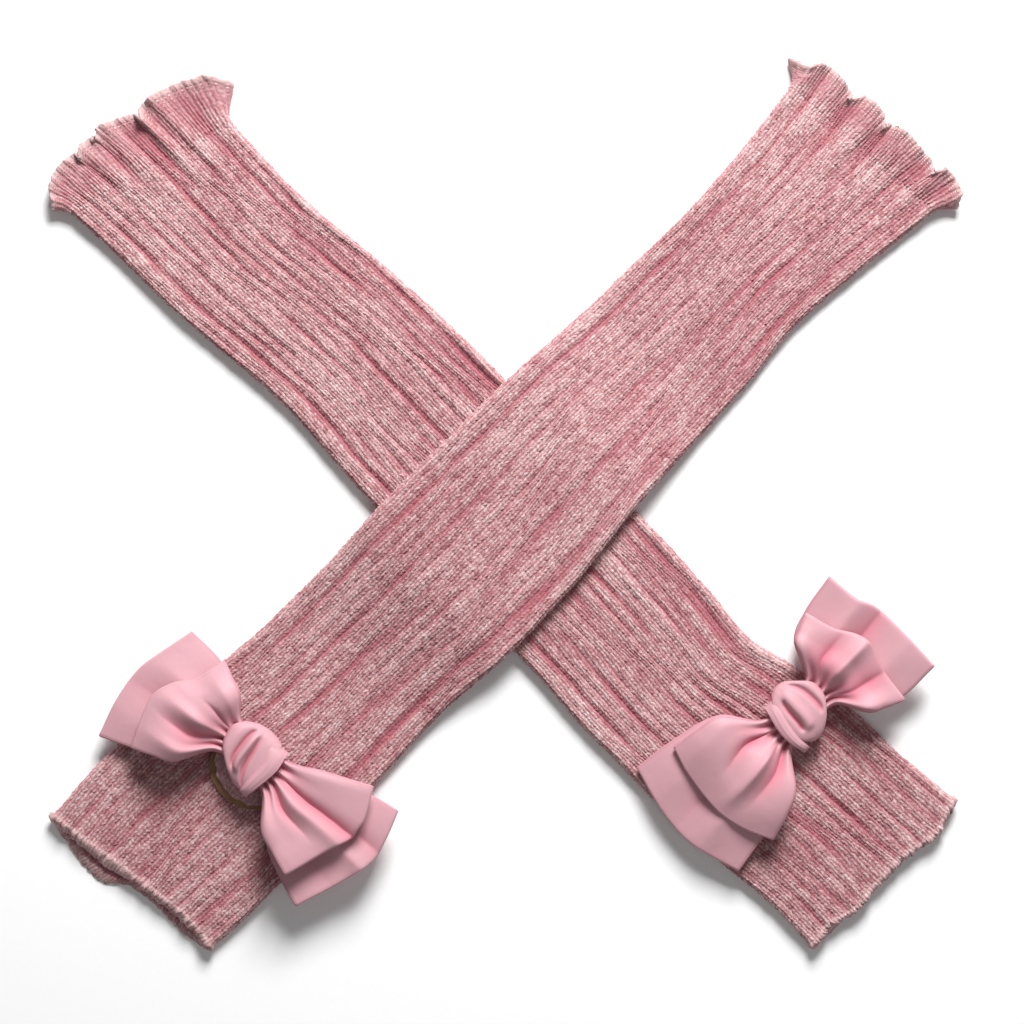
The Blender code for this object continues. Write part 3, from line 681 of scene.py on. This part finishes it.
def loop_points(loop, order, side, out, share, layer):
    """Points of a ribbon loop on its over (1) or under (0) layer, above the seat.

    The fourth value of each point is how deep in a fold it lies, which sets the satin's painted
    shade.
    """
    under, over = gather_level(2 * order), gather_level(2 * order + 1)
    rows = [LoopRow(0, -GATHER_HALF, GATHER_HALF, under, over),
            LoopRow(MOUTH, *loop.mouth, under, over)] + loop.rows
    total = rows[-1].out
    out_share = out / total
    low, high = read_table(rows, "low", out), read_table(rows, "high", out)
    level = read_table(rows, "over" if layer else "under", out)
    y = low + (high - low) * (share + 1) / 2
    spread = smooth(out_share) * out_share
    x = out + spread * (read_table(loop.tip, "out", share) - total)
    gather = GATHER_RISE * np.exp(-np.maximum(out - MOUTH, 0.0) / GATHER_FADE)
    gather = gather + GATHER_HIDDEN * (1 - smooth(out / MOUTH))
    wave = np.cos(math.pi * GATHER_WAVES * share + 1.3 * np.sin(2.6 * share + order))
    z = level + gather * wave
    # sunk sets painted shade in the gathers and in the valleys of the pleats.
    sunk = gather * (1 - wave)
    free = smooth((out - MOUTH * 0.7) / MOUTH)
    ends = np.sin(math.pi * np.clip((out - MOUTH) / (total - MOUTH), 0, 1)) ** 0.8
    for pleat in loop.pleats:
        middle = pleat.root + (pleat.tip - pleat.root) * out_share
        fade = smooth((pleat.reach - out_share) / 0.5)
        offset = np.abs(share - middle) / pleat.width
        sharpness = 1.1 if pleat.rise < 0 else 1.6
        depth = pleat.rise * (1.0 if layer else 0.7) * free * fade
        z = z + depth * np.exp(-offset ** sharpness)
        sunk = sunk - min(pleat.rise, 0.0) * free * fade * np.exp(-offset ** sharpness)
    if layer:
        z = z + 0.6 * loop.crown * ends * (1 - share**4) - 0.8 * share**4 * free
    return joined(side * x, y, z, sunk)


def make_ribbon(warmer, order, title):
    """One ribbon ring of a bow: two loops, gathered where the knot holds them."""
    bow = warmer.bow
    left, right = bow.ribbons[order]
    share = np.linspace(-1, 1, RIBBON_COLUMNS)[None, :]
    rings = []
    for side, loop, first in ((1, right, 1), (-1, left, 0)):
        total = loop.rows[-1].out
        out = total * np.linspace(0, 1, LOOP_STATIONS)[:, None] ** 0.9
        sheets = [loop_points(loop, order, side, out, share, layer) for layer in (0, 1)]
        tips = [sheet[-1] for sheet in sheets]
        turn = np.linspace(0, math.pi, FOLD_STEPS + 2)[1:-1, None, None]
        middle = (tips[first] + tips[1 - first]) / 2
        reach = (tips[first] - tips[1 - first]) / 2
        fold = middle + reach * np.cos(turn)
        fold[..., 0] += side * FOLD_RADIUS * np.sin(turn[..., 0])
        rings += [sheets[first], fold, sheets[1 - first][-1:0:-1]]
    grid = np.concatenate(rings)
    grid[..., 2] += bow.seat
    step = np.linalg.norm(np.diff(grid[..., :3], axis=0), axis=2).mean(axis=1)
    run = np.concatenate([[0.0], np.cumsum(step)])[:, None]
    uvs = joined(share, run).reshape(-1, 2)
    faces = grid_faces(len(grid), RIBBON_COLUMNS, closed_rows=True)
    name = f"{warmer.name}_bow_{title}_ribbon"
    grid = grid.reshape(-1, 4)
    item = make_mesh(name, grid[:, :3], faces, uvs, bow_matrix(warmer))
    add_relief(item, grid[:, 3], np.zeros(len(grid)), faces)
    thicken(item, RIBBON_WALL)
    return item, float(run[-1, 0])


def knot_body(knot, share, turn):
    """Points of the lump inside a knot's band, and how deep in a fold each one lies, for its
    painted shade.
    """
    cosine, sine = np.cos(turn), np.sin(turn)
    half = (knot.high - knot.low) / 2
    middle = (knot.high + knot.low) / 2
    side = middle + half * cosine
    left = read_table(knot.rows, "left", side)
    right = read_table(knot.rows, "right", side)
    x = left + (right - left) * share
    swell = 0.88 + 0.12 * np.sin(math.pi * share)
    bump = np.zeros(np.broadcast(share, turn).shape)
    for fold in knot.folds:
        place = fold.place + fold.slant * cosine
        into = smooth((cosine - fold.start) / 0.25) * smooth((fold.end - cosine) / 0.25)
        offset = (share - place) / fold.width
        bump += fold.rise * into * bell(offset) * np.clip(sine, 0, 1)
    tuck = BODY_TUCK * (np.exp(-share / BODY_TUCK_SHARE) + np.exp(-(1 - share) / BODY_TUCK_SHARE))
    y = middle + (half * swell - tuck) * squarish(cosine, KNOT_SIDE_POWER)
    z = knot.rise / 2 + (knot.rise / 2 * swell + bump - tuck) * squarish(sine, KNOT_TOP_POWER)
    # sunk sets painted shade in the knot's folds and where its ends tuck in.
    sunk = 1.9 * np.maximum(-bump, 0.0) + 0.5 * tuck
    return joined(x, y, np.maximum(z, 0.05), sunk)


def knot_band(knot, share, turn):
    """Points of the band that crosses over a knot, from its top edge to its bottom one."""
    cosine, sine = np.cos(turn), np.sin(turn)
    low, high = knot.band[0].across, knot.band[-1].across
    y = (low + high) / 2 + (high - low) / 2 * squarish(cosine, KNOT_SIDE_POWER)
    x = read_table(knot.band, "x", y) + read_table(knot.band, "half", y) * share
    edge = np.where(share < 0, knot.tuck, 0.9) * np.abs(share) ** 2.5
    rise = knot.rise / 2 + BAND_CLEARANCE - edge
    z = knot.rise / 2 + rise * squarish(sine, KNOT_TOP_POWER)
    # The fourth value paints shade where the band's edges dip.
    return joined(x, y, z, 0.6 * edge)


def make_knot(warmer):
    """The ribbon knot: a folded lump and the band that crosses over it."""
    bow, knot = warmer.bow, warmer.bow.knot
    turn = np.linspace(0, 2 * math.pi, KNOT_AROUND, endpoint=False)[None, :]
    share = np.linspace(0, 1, KNOT_STEPS)[:, None]
    body = knot_body(knot, share, turn)
    band_turn = np.linspace(-BAND_WRAP, math.pi + BAND_WRAP, BAND_STEPS)[:, None]
    band_share = np.linspace(-1, 1, BAND_COLUMNS)[None, :]
    band = knot_band(knot, band_share, band_turn)
    points = np.concatenate([body.reshape(-1, 4), band.reshape(-1, 4)])
    points[:, 2] += bow.seat
    run = turn / (2 * math.pi) * KNOT_GIRTH
    uvs = [joined(share * 2 - 1, run).reshape(-1, 2),
           joined(band_share, band_turn * BAND_SCALE).reshape(-1, 2)]
    faces = [grid_faces(KNOT_STEPS, KNOT_AROUND, closed_columns=True),
             grid_faces(BAND_STEPS, BAND_COLUMNS) + KNOT_STEPS * KNOT_AROUND]
    faces = np.concatenate(faces)
    name = f"{warmer.name}_bow_knot_wrap"
    item = make_mesh(name, points[:, :3], faces, np.concatenate(uvs), bow_matrix(warmer))
    add_relief(item, points[:, 3], np.zeros(len(points)), faces)
    return item


def make_pad(name, node, rough, rings, matrix):
    """A thin oval pad in a CAD pad's place, with an uneven top and edge."""
    low, high = (np.array(corner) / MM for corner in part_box(node))
    inverse = np.array(matrix.inverted().to_3x3())
    centre = (low + high) / 2 - np.array(matrix.translation) / MM
    centre = inverse @ centre
    radii = PAD_RADII[node]
    height = high[2] - low[2]
    generator = np.random.default_rng(RANDOM_SEED)
    share = np.concatenate([np.linspace(0.02, 1, rings), np.linspace(1, 0.02, rings // 2)])
    share = share[:, None]
    top = np.concatenate([np.ones(rings), np.zeros(rings // 2)])[:, None]
    angle = np.linspace(0, 2 * math.pi, PAD_SPOKES, endpoint=False)[None, :]
    noise = generator.uniform(-1, 1, (share.size, PAD_SPOKES)) * rough
    lump = rough * (0.5 * np.sin(11 * angle) + 0.5 * np.sin(17 * angle + 1.0))
    edge = 1 + (0.035 * lump + 0.012 * noise) * share
    x = centre[0] + radii[0] * share * edge * np.cos(angle)
    y = centre[1] + radii[1] * share * edge * np.sin(angle)
    crown = 1 - 0.25 * share**6
    bumps = 0.6 * lump * np.sin(8 * share) + noise * 0.22
    z = low[2] + (height * crown + bumps) * top
    points = joined(x, y, z).reshape(-1, 3)
    uvs = joined(x / 2.6, y / 1.9).reshape(-1, 2)
    faces = grid_faces(share.size, PAD_SPOKES, closed_columns=True)
    return make_mesh(name, points, faces[:, ::-1], uvs, matrix)


# ---------------------------------------------------------------- materials

LIGHT_REACH = (1.0, 0.35, 0.40)     # how far red, green and blue light pass through yarn
LIGHT_DEPTH = 1.6


class Cloth:
    """A material under construction: short ways to add the nodes that a cloth needs."""

    def __init__(self, name, roughness, sheen, sheen_roughness, sheen_tint):
        self.material = bpy.data.materials.new(name)
        self.material.use_nodes = True
        self.nodes = self.material.node_tree.nodes
        self.links = self.material.node_tree.links
        self.shader = self.nodes["Principled BSDF"]
        self.fill(self.shader, {
            "Roughness": roughness, "Sheen Weight": sheen, "Sheen Roughness": sheen_roughness,
            "Sheen Tint": sheen_tint, "Subsurface Radius": LIGHT_REACH,
            "Subsurface Scale": LIGHT_DEPTH * MM})

    def let_light_in(self, weight):
        """Let some light pass through the yarn and come out redder."""
        self.fill(self.shader, {"Subsurface Weight": weight})

    def put(self, value, socket):
        """Set a socket to a number or a colour, or link another node's output to it."""
        if isinstance(value, bpy.types.NodeSocket):
            self.links.new(value, socket)
        elif socket.type == "RGBA":
            socket.default_value = (*value, 1.0)
        else:
            socket.default_value = value

    def fill(self, node, values):
        """Set several of a node's sockets by name."""
        for name, value in values.items():
            self.put(value, node.inputs[name])

    def uv(self, name):
        """Two coordinates that the mesh stores for each point, such as across and along."""
        split = self.nodes.new("ShaderNodeSeparateXYZ")
        source = self.nodes.new("ShaderNodeUVMap")
        source.uv_map = name
        self.links.new(source.outputs["UV"], split.inputs[0])
        return split.outputs[0], split.outputs[1]

    def place(self):
        """Object coordinates, in metres."""
        return self.nodes.new("ShaderNodeTexCoord").outputs["Object"]

    def vector(self, x, y, z=0.0):
        node = self.nodes.new("ShaderNodeCombineXYZ")
        for value, socket in zip((x, y, z), node.inputs):
            self.put(value, socket)
        return node.outputs[0]

    def math(self, operation, a, b=0.0, c=0.0):
        node = self.nodes.new("ShaderNodeMath")
        node.operation = operation
        for value, socket in zip((a, b, c), node.inputs):
            self.put(value, socket)
        return node.outputs[0]

    def times(self, a, b):
        return self.math("MULTIPLY", a, b)

    def scaled(self, a, b, c):
        """a times b, plus c."""
        return self.math("MULTIPLY_ADD", a, b, c)

    def noise(self, vector, scale, detail=2.0, roughness=0.5):
        node = self.nodes.new("ShaderNodeTexNoise")
        self.fill(node, {"Vector": vector, "Scale": scale, "Detail": detail,
                         "Roughness": roughness})
        return node.outputs["Fac"]

    def streaks(self, u, v, across, along, detail, roughness):
        """Noise on the cloth's own coordinates, with a scale for each."""
        place = self.vector(self.times(u, across), self.times(v, along))
        return self.noise(place, 1.0, detail, roughness)

    def white(self, vector):
        node = self.nodes.new("ShaderNodeTexWhiteNoise")
        node.noise_dimensions = "3D"
        self.put(vector, node.inputs["Vector"])
        return node.outputs["Value"]

    def ramp(self, value, stops):
        node = self.nodes.new("ShaderNodeValToRGB")
        ramp = node.color_ramp
        while len(ramp.elements) < len(stops):
            ramp.elements.new(0.5)
        for element, (place, colour) in zip(ramp.elements, stops):
            element.position = place
            element.color = (*colour, 1.0)
        self.put(value, node.inputs["Fac"])
        return node.outputs["Color"]

    def mix(self, factor, a, b):
        node = self.nodes.new("ShaderNodeMix")
        node.data_type = "RGBA"
        self.put(factor, node.inputs[0])
        self.put(a, node.inputs[6])
        self.put(b, node.inputs[7])
        return node.outputs[2]

    def finish(self, colour, height, strength, distance, roughness=None):
        """Connect the colour and the bump."""
        bump = self.nodes.new("ShaderNodeBump")
        self.fill(bump, {"Strength": strength, "Distance": distance * MM, "Height": height})
        self.fill(self.shader, {"Normal": bump.outputs["Normal"], "Base Color": colour})
        if roughness is not None:
            self.fill(self.shader, {"Roughness": roughness})
        return self.material


# The knit ramp, dark to white, carries the yarn's heather and also painted shade between stitches
# and painted light on their crests.
KNIT_DARK = (0.16, 0.034, 0.048)
KNIT_MID = (0.42, 0.190, 0.202)
KNIT_PALE = (0.64, 0.436, 0.436)
KNIT_WHITE = (0.82, 0.645, 0.635)
# Painted shade: the deep pink taken by sunken ribs, creases, flutes and the inside of the cuff.
KNIT_VALLEY_SHADE = (0.40, 0.105, 0.135)
RIM_GREY = (0.43, 0.235, 0.240)
RIM_PALE = (0.68, 0.52, 0.505)
VEIL_DARK = (0.38, 0.150, 0.165)
VEIL_PALE = (0.53, 0.295, 0.300)
# Painted shade: the deep pink that darkens the frill from its seam outwards.
FRILL_SHADE = (0.37, 0.120, 0.145)
EYELET_PALE = (0.86, 0.72, 0.70)
EYELETS_ALONG = 1.5         # rows of eyelets for each stitch along and across the frill
EYELETS_ACROSS = 2.0
SATIN_DARK = (0.585, 0.308, 0.350)
SATIN_PALE = (0.63, 0.345, 0.387)
# Painted shade: the deep pink that the satin takes in its folds.
SATIN_FOLD_SHADE = (0.60, 0.150, 0.215)
SELVEDGE_PINK = (0.46, 0.16, 0.21)
SELVEDGE = 0.955            # where the ribbon's selvedge begins, as a share of its half width


def clamp(cloth, value, low, high):
    """Hold a value between two limits."""
    return cloth.math("MINIMUM", cloth.math("MAXIMUM", value, low), high)


def knit_yarn(cloth, u, v, relief):
    """Heathered yarn on V stitches. Returns its colour, its height and its fibre noise.

    It has painted shade between a stitch's legs and rows and painted light on their crests,
    is uneven along each strand, and takes deep pink painted shade where ribs and creases sink.
    """
    drift = cloth.streaks(u, v, 0.8, 0.7, 2.0, 0.5)
    half_wale = cloth.scaled(drift, 0.9, cloth.times(u, 2.0))
    half_wale = cloth.math("SUBTRACT", half_wale, 0.45)
    leg = cloth.math("SINE", cloth.times(cloth.math("FRACT", half_wale), math.pi))
    row = cloth.math("SINE", cloth.times(cloth.math("FRACT", v), math.pi))
    # body paints shade between a stitch's legs and rows, and light on their crests.
    body = cloth.times(leg, cloth.scaled(row, 0.55, 0.45))
    speck = cloth.white(cloth.vector(cloth.math("FLOOR", half_wale), cloth.math("FLOOR", v)))
    strand = cloth.streaks(u, v, 1.1, 0.17, 3.0, 0.6)
    fibre = cloth.streaks(u, v, 4.0, 2.0, 3.0, 0.7)
    fuzz = cloth.noise(cloth.place(), 650.0, 3.0, 0.7)
    blotch = cloth.noise(cloth.place(), 30.0, 3.0, 0.55)
    # sunk paints shade on low relief and light on high relief.
    sunk = clamp(cloth, relief, -1.6, 0.8)
    tone = cloth.scaled(body, 0.30, -1.09)
    for part, weight in ((speck, 0.25), (strand, 0.58), (fibre, 0.74), (fuzz, 0.78),
                         (blotch, 0.40), (sunk, 0.12)):
        tone = cloth.scaled(part, weight, tone)
    yarn = cloth.ramp(tone, [(0.0, KNIT_DARK), (0.36, KNIT_MID), (0.72, KNIT_PALE),
                             (1.0, KNIT_WHITE)])
    # Painted shade: the yarn turns deep pink where the relief sinks.
    depth = clamp(cloth, cloth.times(relief, -0.95), 0.0, 0.80)
    colour = cloth.mix(depth, yarn, KNIT_VALLEY_SHADE)
    height = cloth.scaled(fibre, 0.5, cloth.times(body, 0.8))
    return colour, cloth.scaled(fuzz, 0.7, height), fibre


def knit_material():
    """Heathered pink yarn, paler on the cast-on edge."""
    cloth = Cloth("pink_knit", 0.90, 0.30, 0.5, (1.0, 0.80, 0.80))
    cloth.let_light_in(0.5)
    u, v = cloth.uv("cloth")
    relief, rim = cloth.uv("relief")
    yarn, height, fibre = knit_yarn(cloth, u, v, relief)
    pale = cloth.mix(fibre, RIM_GREY, RIM_PALE)
    colour = cloth.mix(cloth.times(rim, 0.6), yarn, pale)
    return cloth.finish(colour, height, 0.7, 0.45)


def frill_material():
    """The tube's knit, thinning into rows of eyelets before a pale overlocked bead."""
    cloth = Cloth("frill_knit", 0.88, 0.30, 0.5, (1.0, 0.80, 0.80))
    cloth.let_light_in(0.5)
    u, v = cloth.uv("cloth")
    relief, out = cloth.uv("relief")
    yarn, height, fibre = knit_yarn(cloth, u, v, relief)
    thin = clamp(cloth, cloth.scaled(out, 4.0, -2.7), 0.0, 1.0)
    veil = cloth.mix(fibre, VEIL_DARK, VEIL_PALE)
    # Painted shade: the frill darkens from its seam outwards.
    frill_shade = clamp(cloth, cloth.times(out, 1.2), 0.0, 0.50)
    yarn = cloth.mix(frill_shade, yarn, FRILL_SHADE)
    thinned = cloth.mix(cloth.times(thin, 0.7), yarn, veil)
    row = cloth.math("SINE", cloth.times(v, 2 * math.pi * EYELETS_ALONG))
    column = cloth.math("SINE", cloth.times(u, 2 * math.pi * EYELETS_ACROSS))
    dots = cloth.times(cloth.math("MAXIMUM", row, 0.0),
                      cloth.math("MAXIMUM", column, 0.0))
    dots = cloth.times(cloth.math("POWER", dots, 1.4), cloth.times(thin, 1.3))
    dotted = cloth.mix(dots, thinned, EYELET_PALE)
    rim = clamp(cloth, cloth.scaled(out, 9.0, -8.0), 0.0, 0.85)
    pale = cloth.mix(fibre, RIM_GREY, RIM_PALE)
    return cloth.finish(cloth.mix(rim, dotted, pale), height, 0.6, 0.4)


def satin_material():
    """Pale pink satin ribbon with a fine weave and a narrow selvedge, with deep pink painted
    shade in its folds.
    """
    cloth = Cloth("pink_satin", 0.40, 0.0, 0.35, (1.0, 0.80, 0.84))
    cloth.fill(cloth.shader, {"Specular IOR Level": 0.28, "Anisotropic": 0.2})
    across, run = cloth.uv("cloth")
    sunk, _ = cloth.uv("relief")
    weave = cloth.streaks(across, run, 260.0, 1.2, 2.0, 0.5)
    cloud = cloth.noise(cloth.place(), 60.0, 2.0, 0.5)
    crumple = cloth.streaks(across, run, 1.6, 0.035, 3.0, 0.45)
    tone = cloth.scaled(weave, 0.35, cloth.times(cloud, 0.65))
    colour = cloth.ramp(tone, [(0.2, SATIN_DARK), (0.8, SATIN_PALE)])
    # Painted shade: deep pink in the folds.
    fold_shade = clamp(cloth, cloth.scaled(sunk, 0.30, -0.05), 0.0, 0.85)
    colour = cloth.mix(fold_shade, colour, SATIN_FOLD_SHADE)
    edge = cloth.math("ABSOLUTE", across)
    line = cloth.times(cloth.math("SUBTRACT", edge, SELVEDGE), 60.0)
    line = clamp(cloth, line, 0.0, 1.0)
    colour = cloth.mix(cloth.times(line, 0.35), colour, SELVEDGE_PINK)
    rough = cloth.scaled(weave, 0.14, 0.44)
    height = cloth.scaled(line, -0.06, cloth.times(weave, 0.03))
    height = cloth.scaled(crumple, 0.5, height)
    return cloth.finish(colour, height, 0.7, 2.2, rough)


def tab_material():
    """Pale fuzzy knit, darkened by painted shade from the knot above it."""
    cloth = Cloth("tab_knit", 0.95, 0.4, 0.6, (1.0, 0.9, 0.9))
    fuzz = cloth.noise(cloth.place(), 900.0, 4.0, 0.7)
    # Painted shade: these colours are darkened, as the tab lies in the knot's shade.
    colour = cloth.ramp(fuzz, [(0.30, (0.34, 0.11, 0.13)), (0.50, (0.52, 0.27, 0.285)),
                               (0.70, (0.76, 0.57, 0.56))])
    return cloth.finish(colour, fuzz, 0.9, 0.9)


def felt_material():
    """Matte tan felt, darkened by painted shade from the knot above it."""
    cloth = Cloth("tan_felt", 0.95, 0.2, 0.6, (1.0, 0.9, 0.8))
    fibre = cloth.noise(cloth.place(), 1800.0, 3.0, 0.7)
    blotch = cloth.noise(cloth.place(), 200.0, 2.0, 0.5)
    tone = cloth.scaled(fibre, 0.6, cloth.times(blotch, 0.4))
    # Painted shade: the tan is darkened, as the felt lies in the knot's shade.
    colour = cloth.ramp(tone, [(0.25, (0.19, 0.085, 0.040)), (0.75, (0.38, 0.21, 0.105))])
    return cloth.finish(colour, fibre, 0.7, 0.4)


def floor_material():
    """Pale matte floor."""
    cloth = Cloth("floor", 0.7, 0.0, 0.5, (1.0, 1.0, 1.0))
    speck = cloth.noise(cloth.place(), 300.0, 2.0, 0.5)
    colour = cloth.ramp(speck, [(0.0, (0.95, 0.95, 0.95)), (1.0, (0.97, 0.97, 0.97))])
    return cloth.finish(colour, speck, 0.02, 0.05)


# ---------------------------------------------------------------- assembly

def dress(item, material, slot, *nodes):
    """Give a piece its cloth, hang it on the root body, and hide the CAD parts it stands for."""
    item.data.materials.append(material)
    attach(item, "root")
    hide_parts(*nodes)


def build_warmer(warmer, cloths):
    """One arm warmer: its tube, frill and bow."""
    name = warmer.name
    tube = make_tube(warmer)
    dress(tube, cloths["pink_knit"], "pink_knit", f"{name}_tube")

    frill = make_frill(warmer)
    dress(frill, cloths["frill_knit"], "frill_knit", f"{name}_frill")

    for order, title in enumerate(("back", "front")):
        ribbon, length = make_ribbon(warmer, order, title)
        dress(ribbon, cloths["pink_satin"], "pink_satin", f"{name}_bow_{title}")
    knot = make_knot(warmer)
    dress(knot, cloths["pink_satin"], "pink_satin", f"{name}_bow_knot")


def build_pads(cloths):
    """The backing that shows under the over warmer's knot."""
    matrix = bow_matrix(OVER)
    tab = make_pad("over_bow_tab_knit", "over_bow_tab", 0.9, 22, matrix)
    dress(tab, cloths["tab_knit"], "pink_knit", "over_bow_tab")
    felt = make_pad("over_bow_felt_pad", "over_bow_felt", 0.35, 18, matrix)
    dress(felt, cloths["tan_felt"], "tan_felt", "over_bow_felt")


def add_area_light(name, location, size, energy):
    """A soft square light that faces the pair's middle."""
    light = bpy.data.lights.new(name, "AREA")
    light.size = size
    light.energy = energy
    item = bpy.data.objects.new(name, light)
    item.location = location
    item.rotation_euler = (-Vector(location)).to_track_quat("-Z", "Y").to_euler()
    bpy.context.scene.collection.objects.link(item)


def build_stage():
    """A plain pale floor, soft light from the frilled side, and the camera overhead."""
    mesh = bpy.data.meshes.new("floor")
    mesh.from_pydata([(-3, -3, 0), (3, -3, 0), (3, 3, 0), (-3, 3, 0)], [], [(0, 1, 2, 3)])
    floor = bpy.data.objects.new("floor", mesh)
    mesh.materials.append(floor_material())
    bpy.context.scene.collection.objects.link(floor)

    world = bpy.data.worlds.new("studio")
    world.use_nodes = True
    world.node_tree.nodes["Background"].inputs["Color"].default_value = (1.0, 1.0, 1.0, 1.0)
    world.node_tree.nodes["Background"].inputs["Strength"].default_value = 0.15
    bpy.context.scene.world = world
    bpy.context.scene.view_settings.view_transform = "Standard"
    add_area_light("key", (0.25, 1.25, 1.00), 0.65, 48.0)
    add_area_light("fill", (0.5, -1.0, 2.2), 1.6, 6.0)

    camera = bpy.data.cameras.new("camera")
    camera.sensor_width = 36.0
    distance, view_width = 1.5, 0.4403
    camera.lens = camera.sensor_width * distance / view_width
    item = bpy.data.objects.new("camera", camera)
    item.location = (0.0032, -0.0017, distance)
    bpy.context.scene.collection.objects.link(item)
    bpy.context.scene.camera = item


def build():
    """The whole scene."""
    cloths = {
        "pink_knit": knit_material(),
        "frill_knit": frill_material(),
        "pink_satin": satin_material(),
        "tab_knit": tab_material(),
        "tan_felt": felt_material(),
    }
    for warmer in (UNDER, OVER):
        build_warmer(warmer, cloths)
    build_pads(cloths)
    build_stage()


build()
bpy.context.view_layer.update()
